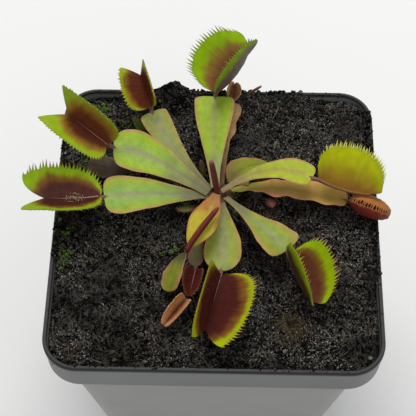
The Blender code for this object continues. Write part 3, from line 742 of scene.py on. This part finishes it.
def add_pod(skin, path, width, height, colour, tip_colour, mat=0, tip_from=.8):
    """Closed young trap: a slim pod with a crease along its back, and a painted highlight as a bright
    band beside the crease.
    """
    sides, count = 18, 40
    pts = [np.array(p, float) for p in path]
    rings = []
    for i in range(count + 1):
        f = i / count
        g = f * (len(pts) - 1)
        k = min(int(g), len(pts) - 2)
        p = pts[k] + (pts[k + 1] - pts[k]) * (g - k)
        t = unit(pts[k + 1] - pts[k])
        hint = np.array((0, 0, 1.0)) if abs(t[2]) < .8 else np.array((.1, -1.0, 0))
        side = unit(np.cross(t, hint))
        up = np.cross(side, t)
        swell = max(.05, (1 - abs(2 * f - 1) ** 9) ** .5 * (.80 + .20 * math.sin(math.pi * f)))
        ring = []
        for m in range(sides):
            a = 2 * math.pi * m / sides
            crease = 1 - .22 * math.exp(-((a - math.pi / 2) / .28) ** 2)
            q = p + (side * math.cos(a) * width + up * math.sin(a) * height * crease) * swell
            c = blend(colour, tip_colour, step(tip_from, 1.0, f)) * (1 + .18 * rough(q, 1.2, 3.0))
            # Painted highlight: a bright band along the pod, just past the crease on its back.
            c = c * (1 + .35 * math.exp(-((a - 1.9) / .35) ** 2))
            ring.append(skin.point(q, c, (f * 4, m / sides, 0)))
        rings.append(ring)
    skin.strip(rings, mat)


def build_leaf(number, name, spec):
    palette, look = BLADE_COLOURS[name], TRAP_COLOURS.get(name)
    skin = Skin()
    dry = name == "leaf_old_behind_north"
    ragged = {"leaf_east_lower": .42, "leaf_old_behind_north": .40}.get(name, 0.0)
    add_blade(skin, spec["stalk"], palette, BLADE_THICK, number * 1.7, ragged=ragged)
    trap = spec["trap"]
    if name == "leaf_young_folded":
        h, _, up = trap_axes(*trap[1:4])
        start = np.array(trap[0])
        bend = [start - h * .6 - up * 1.3, start - h * .9 - up * .5, start + up * .1]
        path = bend + [start + h * trap[5] * f + up * (.5 + .5 * math.sin(math.pi * f))
                       for f in np.linspace(.12, 1, 8)]
        add_pod(skin, path, .82, 1.05, rgb(96, 36, 36), rgb(120, 60, 48), 1)
    else:
        crinkle = .25 if dry else (.06 if name == "leaf_east_lower" else .0)
        for sign in (1, -1):
            add_lobe(skin, trap, sign, look, 1, crinkle)
            add_teeth(skin, trap, sign, look, 2, number)
        if not dry:
            add_hairs(skin, trap)
        add_neck(skin, spec["stalk"], trap, palette, look)
    mats = [DRY, DRY, DRY, DRY] if dry else [LEAF, TRAP, LEAF, STEM]
    skin.build(name + "_shape", mats, [name])


def build_small(number, name, spec):
    skin = Skin()
    palette = BLADE_COLOURS[name]
    *shape, thick = spec
    ragged = {"leaf_dead_flat": .35, "bark_chip": .45, "stub_north": .3, "stub_west": .3,
              "twig": .3, "leaf_small_southwest": .08}.get(name, .06)
    if name == "bud_spike":
        base, end, mid, arch = shape[:4]
        path = [spine(base, end, mid, arch, t)[0] for t in np.linspace(-.12, 1, 12)]
        add_pod(skin, path, .88, .95, palette["body"], rgb(170, 104, 98), 0, .88)
    else:
        add_blade(skin, shape, palette, thick, 20 + number, ragged=ragged, least=.12, last=.999)
    dry = name in ("leaf_dead_flat", "stub_north", "stub_west", "bark_chip", "twig")
    skin.build(name + "_shape", [DRY if dry else LEAF], [name])


for index, (leaf, spec) in enumerate(LEAVES.items()):
    build_leaf(index, leaf, spec)
for index, (leaf, spec) in enumerate(BLADES.items()):
    build_small(index, leaf, spec)

dried = Skin()
for sign in (1, -1):
    add_lobe(dried, OLD_TRAP, sign, TRAP_COLOURS["trap_dried"], 0, .12)
    add_teeth(dried, OLD_TRAP, sign, TRAP_COLOURS["trap_dried"], 0, 40)
dried.build("trap_dried_shape", [DRY], ["trap_dried"])

# ---- crown -----------------------------------------------------------------------
crown = Skin()
heart = [(CROWN[0], CROWN[1], z) for z in (-9, -7.5, -5, -2, -.3, .8, 1.6, 2.2)]
crown.tube(heart, (1.6, 3.0, 3.6, 3.6, 3.4, 3.0, 2.1, .8),
           lambda f: blend(rgb(70, 42, 34), rgb(92, 56, 44), f), 24)
SHEATHS = 13                         # stumps of old leaf bases around the crown
for n in range(SHEATHS):
    a = 2 * math.pi * n / SHEATHS + .3
    r0, r1 = 2.0, 4.3
    path = [(CROWN[0] + r * math.cos(a), CROWN[1] + r * math.sin(a), z)
            for r, z in ((r0 - .8, .3), (r0 + .5, 1.7), (r1 - .9, 1.8), (r1, 1.2))]
    crown.tube(path, (.9, 1.0, .85, .3), lambda f: blend(rgb(84, 48, 38), rgb(112, 84, 60), f),
               flat=.6)
crown.build("rhizome_shape", [STEM], ["rhizome"])

# ---- pot -------------------------------------------------------------------------
COLLAR_CORNER = 9.5
BODY_TOP_WIDTH, BODY_BOTTOM_WIDTH, BODY_CORNER = 83.0, 63.6, 8.0
WALL, FLOOR = 1.2, 1.6
DRAIN_RADIUS, DRAIN_OFFSET = 3.5, 19.0
CORNER_STEPS = 14
LOWER_WALL, UPPER_WALL = .35, .7     # heights of the two rings in the tapered wall


def rounded_square(width, radius, side_points=6):
    half = width / 2 - radius
    corners = [(half, half), (-half, half), (-half, -half), (half, -half)]
    ring = []
    for quarter, (cx, cy) in enumerate(corners):
        for k in range(CORNER_STEPS + 1):
            a = math.pi / 2 * (quarter + k / CORNER_STEPS)
            ring.append((cx + radius * math.cos(a), cy + radius * math.sin(a)))
        nx, ny = corners[(quarter + 1) % 4]
        x, y = ring[-1]
        for k in range(1, side_points + 1):
            f = k / (side_points + 1)
            ring.append((x + (nx - cx) * f, y + (ny - cy) * f))
    return ring


def wall_width(z):
    return BODY_BOTTOM_WIDTH + (BODY_TOP_WIDTH - BODY_BOTTOM_WIDTH) * z / (RIM - COLLAR_DEPTH)


def build_pot():
    ledge = RIM - COLLAR_DEPTH
    w, c, b = POT_WIDTH, COLLAR_CORNER, BODY_CORNER
    inner = w - 2 * WALL
    profile = [(BODY_BOTTOM_WIDTH - 2.4, b - 1.2, 0), (wall_width(.3) - 1.1, b - .55, .25),
               (wall_width(1.2), b, 1.2), (wall_width(ledge * LOWER_WALL), b, ledge * LOWER_WALL),
               (wall_width(ledge * UPPER_WALL), b, ledge * UPPER_WALL),
               (BODY_TOP_WIDTH, b, ledge - .5),
               (BODY_TOP_WIDTH + .9, b + .4, ledge), (w - 1.6, c - .5, ledge),
               (w - .9, c - .1, ledge + .25), (w - .6, c, ledge + .7), (w - .5, c, RIM - 4),
               (w, c, RIM - 2.2), (w, c, RIM - .8), (w - .25, c - .1, RIM - .3),
               (w - .8, c - .4, RIM), (inner + .5, c - WALL + .25, RIM),
               (inner + .1, c - WALL + .05, RIM - .2), (inner, c - WALL, RIM - .6),
               (inner - .4, c - WALL, ledge + WALL),
               (BODY_TOP_WIDTH - 2 * WALL, b - WALL, ledge - .4),
               (wall_width(FLOOR) - 2 * WALL, b - WALL, FLOOR)]
    mesh = loft("pot_shape", [[(x, y, z) for x, y in rounded_square(width, radius)]
                              for width, radius, z in profile])
    pot = add_object("pot_shape", mesh)
    cutters = []
    for sx in (-1, 1):
        for sy in (-1, 1):
            bpy.ops.mesh.primitive_cylinder_add(
                vertices=32, radius=DRAIN_RADIUS * MM, depth=4 * FLOOR * MM,
                location=(sx * DRAIN_OFFSET * MM, sy * DRAIN_OFFSET * MM, FLOOR / 2 * MM))
            cutter = bpy.context.object
            mod = pot.modifiers.new("drain", "BOOLEAN")
            mod.operation, mod.object = "DIFFERENCE", cutter
            cutters.append(cutter)
    cut = bpy.data.meshes.new_from_object(pot.evaluated_get(bpy.context.evaluated_depsgraph_get()))
    pot.modifiers.clear()
    pot.data = cut
    for cutter in cutters:
        bpy.data.objects.remove(cutter, do_unlink=True)
    cut.materials.clear()
    cut.materials.append(PLASTIC)
    cut.shade_smooth()
    cut.set_sharp_from_angle(angle=math.radians(38))
    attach(pot, "root")
    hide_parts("pot")


build_pot()

# ---- peat ------------------------------------------------------------------------
SOIL_LEVEL = -1.6
SOIL_RINGS, SOIL_SIDE_POINTS = 132, 120
MOUND = (-13.0, 43.2, 3.3, 5.2)      # x, y, spread and height of the heap at the back
SPILL_LEFT, SPILL_RIGHT = (-12, 31), (-17, 38)      # stretches where peat lies over the lip


def clods(p, scale, seed):
    """Rounded lumps: 1 in the middle of a lump, 0 in the cracks between lumps."""
    near = noise.voronoi(Vector((p[0] * scale, p[1] * scale, seed)))[0]
    return min(1.0, (near[1] - near[0]) * 1.7)


def spill(x, y):
    """1 where the peat is heaped up to the lip and over it."""
    low, high = SPILL_LEFT if x < 0 else SPILL_RIGHT
    sides = step(low - 3, low + 3, y) * (1 - step(high - 3, high + 3, y)) * step(34, 42, abs(x))
    return max(sides, step(35, 42, y) * (1 - step(24, 30, x)) * (1 - step(25, 30, -x)))


def ground(x, y):
    """Height of the peat from the rim: lumps, crumbs and the heap at the back."""
    p = Vector((x, y, 4.0))
    bent = p + Vector((noise.noise(p * .6), noise.noise(p * .6 + Vector((9, 0, 0))), 0)) * 1.4
    z = SOIL_LEVEL
    z += 1.0 * noise.noise(p * .13) + .8 * noise.noise(p * .30)
    z += 1.35 * (clods(bent, .33, 1.0) - .6) * (.75 + noise.noise(p * .2))
    z += .85 * (clods(bent, .75, 3.0) - .5) + .38 * (clods(bent, 1.9, 6.0) - .5)
    z += .34 * noise.noise(p * 1.7) + .20 * noise.noise(p * 3.6)
    mx, my, spread, tall = MOUND
    z += tall * math.exp(-((x - mx) ** 2 + (y - my) ** 2) / (2 * spread ** 2))
    edge = max(abs(x), abs(y))
    over = spill(x, y)
    z += 1.9 * over + .6 * step(30, 43, y)
    z -= .7 * step(40.8, 43.2, edge) * (1 - over)
    z -= 1.9 * step(33, 41, -y) * (1 - step(22, 36, abs(x + 2)))
    near = math.hypot(x - CROWN[0], y - CROWN[1])
    return z + .8 * (1 - step(3, 12, near))


def build_soil():
    low = FLOOR + .35
    inner = POT_WIDTH - 2 * WALL - .5
    outline = rounded_square(inner, COLLAR_CORNER - WALL - .2, SOIL_SIDE_POINTS)
    ledge = RIM - COLLAR_DEPTH
    skirt = [(wall_width(low) - 2 * WALL - .7, BODY_CORNER - WALL, low),
             (BODY_TOP_WIDTH - 2 * WALL - .7, BODY_CORNER - WALL - .2, ledge - .2),
             (inner - .5, COLLAR_CORNER - WALL - .2, ledge + WALL + .6)]
    rings = [[(x, y, z) for x, y in rounded_square(width, radius, SOIL_SIDE_POINTS)]
             for width, radius, z in skirt]
    for k in range(SOIL_RINGS + 1):
        f = (1 - k / (SOIL_RINGS + 1)) ** .9
        rings.append([(x * f, y * f, RIM + ground(x * f, y * f)) for x, y in outline])
    mesh = loft("soil_shape", rings)
    mesh.shade_smooth()
    mesh.materials.append(PEAT)
    soil = add_object("soil_shape", mesh)
    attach(soil, "root")
    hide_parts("soil")


build_soil()

ICO = [(0, 0, 1), (.894, 0, .447), (.276, .851, .447), (-.724, .526, .447), (-.724, -.526, .447),
       (.276, -.851, .447), (.724, .526, -.447), (-.276, .851, -.447), (-.894, 0, -.447),
       (-.276, -.851, -.447), (.724, -.526, -.447), (0, 0, -1)]
ICO_FACES = [(0, 1, 2), (0, 2, 3), (0, 3, 4), (0, 4, 5), (0, 5, 1), (1, 6, 2), (2, 7, 3),
             (3, 8, 4), (4, 9, 5), (5, 10, 1), (2, 6, 7), (3, 7, 8), (4, 8, 9), (5, 9, 10),
             (1, 10, 6), (6, 11, 7), (7, 11, 8), (8, 11, 9), (9, 11, 10), (10, 11, 6)]


def add_crumb(skin, rng, x, y, z, size, colour):
    stretch = rng.uniform(.55, 1.25, 3) * size
    turn = rng.uniform(0, 2 * math.pi)
    c, s = math.cos(turn), math.sin(turn)
    ids = []
    for p in ICO:
        q = np.array(p) * stretch * rng.uniform(.75, 1.2)
        ids.append(skin.point((x + c * q[0] - s * q[1], y + s * q[0] + c * q[1], z + q[2]), colour))
    for f in ICO_FACES:
        skin.face(tuple(ids[i] for i in f))


PEAT_TONES = [rgb(26, 25, 26), rgb(40, 37, 35), rgb(60, 55, 49), rgb(80, 75, 69), rgb(14, 13, 14),
              rgb(104, 97, 87), rgb(70, 52, 40), rgb(134, 129, 120)]
TONE_ODDS = [.24, .18, .13, .10, .20, .07, .05, .03]
CRUMBS, FIBRES = 4200, 900
CRUMB_REACH, FIBRE_REACH, MOSS_REACH = 42.6, 42, 42.4   # how far from the middle they are laid
PEAT_EDGE = 42.8                                        # half width of the peat

rng = np.random.default_rng(11)
crumbs = Skin()
for n in range(CRUMBS):
    x, y = rng.uniform(-CRUMB_REACH, CRUMB_REACH, 2)
    size = .14 + .62 * rng.random() ** 2.6
    tone = PEAT_TONES[rng.choice(len(PEAT_TONES), p=TONE_ODDS)]
    add_crumb(crumbs, rng, x, y, ground(x, y) + size * .35, size, tone * rng.uniform(.7, 1.2))
HEAPS = [  # x, y, spread, how many, largest, tones
    (20.5, -30.8, 2.6, 80, .6, (rgb(96, 84, 50), rgb(74, 64, 40), rgb(52, 46, 34))),
    (-13.0, 42.6, 3.0, 120, 1.2, (rgb(30, 30, 31), rgb(48, 47, 46), rgb(16, 16, 17))),
    (24.0, 41.5, 12.0, 110, .60, (rgb(70, 70, 68), rgb(52, 50, 50), rgb(84, 82, 78))),
    (0.0, 11.0, 6.5, 160, .55, (rgb(48, 42, 36), rgb(66, 56, 46), rgb(96, 92, 88))),
    (14.0, 3.0, 4.0, 50, .60, (rgb(110, 68, 48), rgb(86, 60, 44), rgb(50, 42, 36)))]
for hx, hy, spread, many, largest, tones in HEAPS:
    for n in range(many):
        x, y = hx + rng.normal(0, spread), hy + rng.normal(0, min(spread, 3.5))
        if max(abs(x), abs(y)) > PEAT_EDGE:
            continue
        size = rng.uniform(.2, largest)
        tone = tones[rng.integers(len(tones))] * rng.uniform(.7, 1.2)
        add_crumb(crumbs, rng, x, y, ground(x, y) + size * .45, size, tone)
LIP = POT_WIDTH / 2 - WALL / 2
LIP_HEAPS = [  # side, from, to, how many, largest
    ("left", -12, 31, 420, .62), ("right", -17, 38, 520, .62), ("back", -25, 25, 460, .72),
    ("back", -17, -9, 70, 1.2), ("back", 25, 37, 40, .34), ("back", -36, -25, 26, .30),
    ("front", -38, 38, 80, .36), ("left", -36, -12, 26, .30), ("right", -36, -17, 26, .34),
    ("front", 13, 33, 26, .50), ("front", -32, -26, 8, .45), ("front", -17, -14, 7, .55)]
for side, low, high, many, largest in LIP_HEAPS:
    for n in range(many):
        along, off = rng.uniform(low, high), LIP + rng.normal(-.75, .60)
        off = min(max(off, LIP - 2.4), LIP + .22 - .3 * rng.random())
        x, y = {"left": (-off, along), "right": (off, along), "back": (along, off),
                "front": (along, -off)}[side]
        size = .12 + (largest - .12) * rng.random() ** 1.8
        height = size * .5 + (rng.uniform(0, .45) if largest > .6 else 0)
        tone = PEAT_TONES[rng.choice(len(PEAT_TONES), p=TONE_ODDS)] * rng.uniform(.7, 1.2)
        add_crumb(crumbs, rng, x, y, height, size, tone)
crumbs.build("peat_crumbs", [CRUMB], smooth_angle=30)

FIBRE_TONES = [rgb(104, 99, 92), rgb(130, 122, 108), rgb(84, 70, 54), rgb(150, 138, 116),
               rgb(60, 52, 44), rgb(116, 86, 58)]


def add_fibre(skin, rng, x, y, length, radius, tone, lift=.25, turn=None):
    a = rng.uniform(0, 2 * math.pi) if turn is None else turn
    bend = rng.uniform(-.9, .9)
    path = []
    for k in range(7):
        f = k / 6
        path.append((x, y, ground(x, y) + lift + .45 * math.sin(math.pi * f) * rng.random()))
        x += math.cos(a) * length / 6
        y += math.sin(a) * length / 6
        a += bend / 6 + rng.normal(0, .18)
        if max(abs(x), abs(y)) > PEAT_EDGE:
            return
    radii = [radius * (1 - .6 * abs(k / 3 - 1)) for k in range(7)]
    skin.tube(path, radii, lambda f: tone, 5)


fibres = Skin()
for n in range(FIBRES):
    x, y = rng.uniform(-FIBRE_REACH, FIBRE_REACH, 2)
    tone = FIBRE_TONES[rng.integers(len(FIBRE_TONES))] * rng.uniform(.6, 1.15)
    add_fibre(fibres, rng, x, y, rng.uniform(1.2, 6.0), rng.uniform(.035, .10), tone)
PALE_MAT = (12, 26, 12, 9, 170, 41)          # x, y, spreads, how many, reach
STRAW_MAT = (20.5, -30.8, 2.0, 1.8, 60)      # x, y, spreads, how many
cx, cy, wide, deep, many, reach = PALE_MAT
for n in range(many):
    x, y = cx + rng.normal(0, wide), cy + rng.normal(0, deep)
    if max(abs(x), abs(y)) < reach:
        add_fibre(fibres, rng, x, y, rng.uniform(2, 6), rng.uniform(.04, .09),
                  rgb(112, 108, 100) * rng.uniform(.6, 1.2), .35)
cx, cy, wide, deep, many = STRAW_MAT
for n in range(many):
    x, y = cx + rng.normal(0, wide), cy + rng.normal(0, deep)
    add_fibre(fibres, rng, x, y, rng.uniform(1.2, 3.2), .06, rgb(112, 98, 58), .7)
LONG_FIBRES = [  # x, y, length, radius, colour, lift, heading
    (-21.0, 2.5, 8.5, .14, rgb(128, 108, 76), .6, 3.9),
    (-38.0, -8.0, 7.0, .10, rgb(110, 96, 74), .5, 5.2),
    (29.0, -21.0, 6.0, .12, rgb(96, 70, 48), .5, .4)]
for long_fibre in LONG_FIBRES:
    add_fibre(fibres, rng, *long_fibre)
fibres.build("peat_fibres", [FIBRE])

MOSS_SPOTS = [  # x, y, spread, sprigs
    (6.0, 12.4, 1.6, 26), (-30.5, 28.5, 2.4, 22), (-34.0, 38.5, 1.2, 16), (-26.5, 27.0, 1.6, 12),
    (-41.0, -12.0, 1.5, 16), (-38.0, 12.0, 2.6, 30), (-34.5, 8.5, 2.4, 20), (-8.5, 6.0, 1.0, 8),
    (-37.5, 17.5, 2.0, 14), (-40.5, -4.0, 1.2, 8), (-12.0, -9.5, 2.0, 8), (4.5, 4.5, 1.4, 6),
    (-27.0, 34.0, 1.2, 14), (-23.0, 27.5, 1.0, 10), (5.5, 14.0, .8, 12)]
SPRIG_SHOOTS = 5
moss = Skin()
for mx, my, spread, sprigs in MOSS_SPOTS:
    for n in range(sprigs):
        x, y = mx + rng.normal(0, spread), my + rng.normal(0, spread * .7)
        if max(abs(x), abs(y)) > MOSS_REACH:
            continue
        z = ground(x, y)
        green = rgb(96, 134, 24) * rng.uniform(.5, 1.5)
        for k in range(SPRIG_SHOOTS):
            a = 2 * math.pi * k / SPRIG_SHOOTS + rng.uniform(0, 1)
            reach, rise = rng.uniform(.35, .8), rng.uniform(.25, .75)
            path = [(x, y, z - .1),
                    (x + reach * .5 * math.cos(a), y + reach * .5 * math.sin(a), z + rise),
                    (x + reach * math.cos(a), y + reach * math.sin(a), z + rise * 1.15)]
            moss.tube(path, (.09, .13, .02), lambda f: green * (.8 + .5 * f), 4, flat=.5)
moss.build("moss_sprigs", [MOSS])

# Dried insect remains and grit caught in the west and north traps.
DEBRIS = [  # leaf, place along the hinge, spread, how many, colour
    ("leaf_west", .44, .07, 44, rgb(176, 146, 118)),
    ("leaf_north", .42, .08, 12, rgb(120, 70, 50))]
debris = Skin()
for name, s0, spread, many, tone in DEBRIS:
    trap = LEAVES[name]["trap"]
    for n in range(many):
        s = s0 + rng.normal(0, spread)
        t = abs(rng.normal(.04, .09))
        sign = 1 if rng.random() < .5 else -1
        p = lobe_point(trap, sign, min(max(s, .05), .9), min(t, .4), -.45)
        d = np.array((rng.normal(), rng.normal(), rng.normal() * .4))
        d = unit(d) * rng.uniform(.5, 1.7)
        debris.tube([p - d / 2, p + (0, 0, .12), p + d / 2], (.05, .10, .03),
                    lambda f: tone * rng.uniform(.8, 1.1), 5)
debris.build("trap_debris", [FIBRE])

# ---- stage, camera, lights -------------------------------------------------------
FLOOR_HALF = 3                               # metres
# Painted shade: the floor is darker at the front and brighter at the back, a painted falloff of the
# light.
FLOOR_FRONT_SHADED, FLOOR_BACK_LIT = (.74, .74, .74), (.85, .85, .845)
FLOOR_SHADE_FADE = (-.06, .08)                     # where along Y the painted shade turns into the brighter back, metres
corners = [(x * FLOOR_HALF, y * FLOOR_HALF, 0) for x, y in ((-1, -1), (1, -1), (1, 1), (-1, 1))]
mesh = bpy.data.meshes.new("floor")
mesh.from_pydata(corners, [], [(0, 1, 2, 3)])
floor = add_object("floor", mesh)
paper = Shader("floor_paper", .9, .2)
depth = paper.new("ShaderNodeSeparateXYZ", Vector=paper.place()).outputs["Y"]
mesh.materials.append(paper.finish(paper.mix(paper.remap(depth, *FLOOR_SHADE_FADE, 0, 1),
                                             FLOOR_FRONT_SHADED, FLOOR_BACK_LIT)))

CAMERA_AT = (1.736, -167.119, 285.004)       # mm, from the centre of the rim's plane
CAMERA_TILT, CAMERA_TURN, CAMERA_ROLL = 58.977, 1.349, -0.204
CAMERA_LENS, CAMERA_SENSOR = 103.32, 36.0
e, a, r = (math.radians(v) for v in (CAMERA_TILT, CAMERA_TURN, CAMERA_ROLL))
back = Vector((math.sin(a) * math.cos(e), -math.cos(a) * math.cos(e), math.sin(e)))
right = Vector((math.cos(a), math.sin(a), 0))
up = back.cross(right)
right2 = right * math.cos(r) + up * math.sin(r)
up2 = up * math.cos(r) - right * math.sin(r)
camera = bpy.data.cameras.new("camera")
camera.lens, camera.sensor_width, camera.clip_start = CAMERA_LENS, CAMERA_SENSOR, .01
cam = add_object("camera", camera)
place = Vector(CAMERA_AT) * MM + Vector((0, 0, RIM * MM))
turn = Matrix((right2, up2, back)).transposed().to_4x4()
cam.matrix_world = Matrix.Translation(place) @ turn
bpy.context.scene.camera = cam

SKY_COLOUR, SKY_STRENGTH = (.96, .98, 1, 1), .46
LIGHT_TARGET = Vector((0, 0, .09))           # middle of the rim, metres
world = bpy.data.worlds.new("studio")
world.use_nodes = True
sky = world.node_tree.nodes["Background"].inputs
sky["Color"].default_value, sky["Strength"].default_value = SKY_COLOUR, SKY_STRENGTH
bpy.context.scene.world = world


def add_area(name, at, size, watts, colour=(1, 1, 1)):
    light = bpy.data.lights.new(name, "AREA")
    light.shape, light.size, light.energy, light.color = "DISK", size, watts, colour
    obj = add_object(name, light)
    obj.location = at
    obj.rotation_euler = (LIGHT_TARGET - obj.location).to_track_quat("-Z", "Y").to_euler()


add_area("key", (-.05, .45, 1.0), .55, 7.0, (1, .985, .96))
add_area("fill", (.2, -.7, .9), .9, 2.1)

bpy.context.scene.view_settings.view_transform = "Standard"
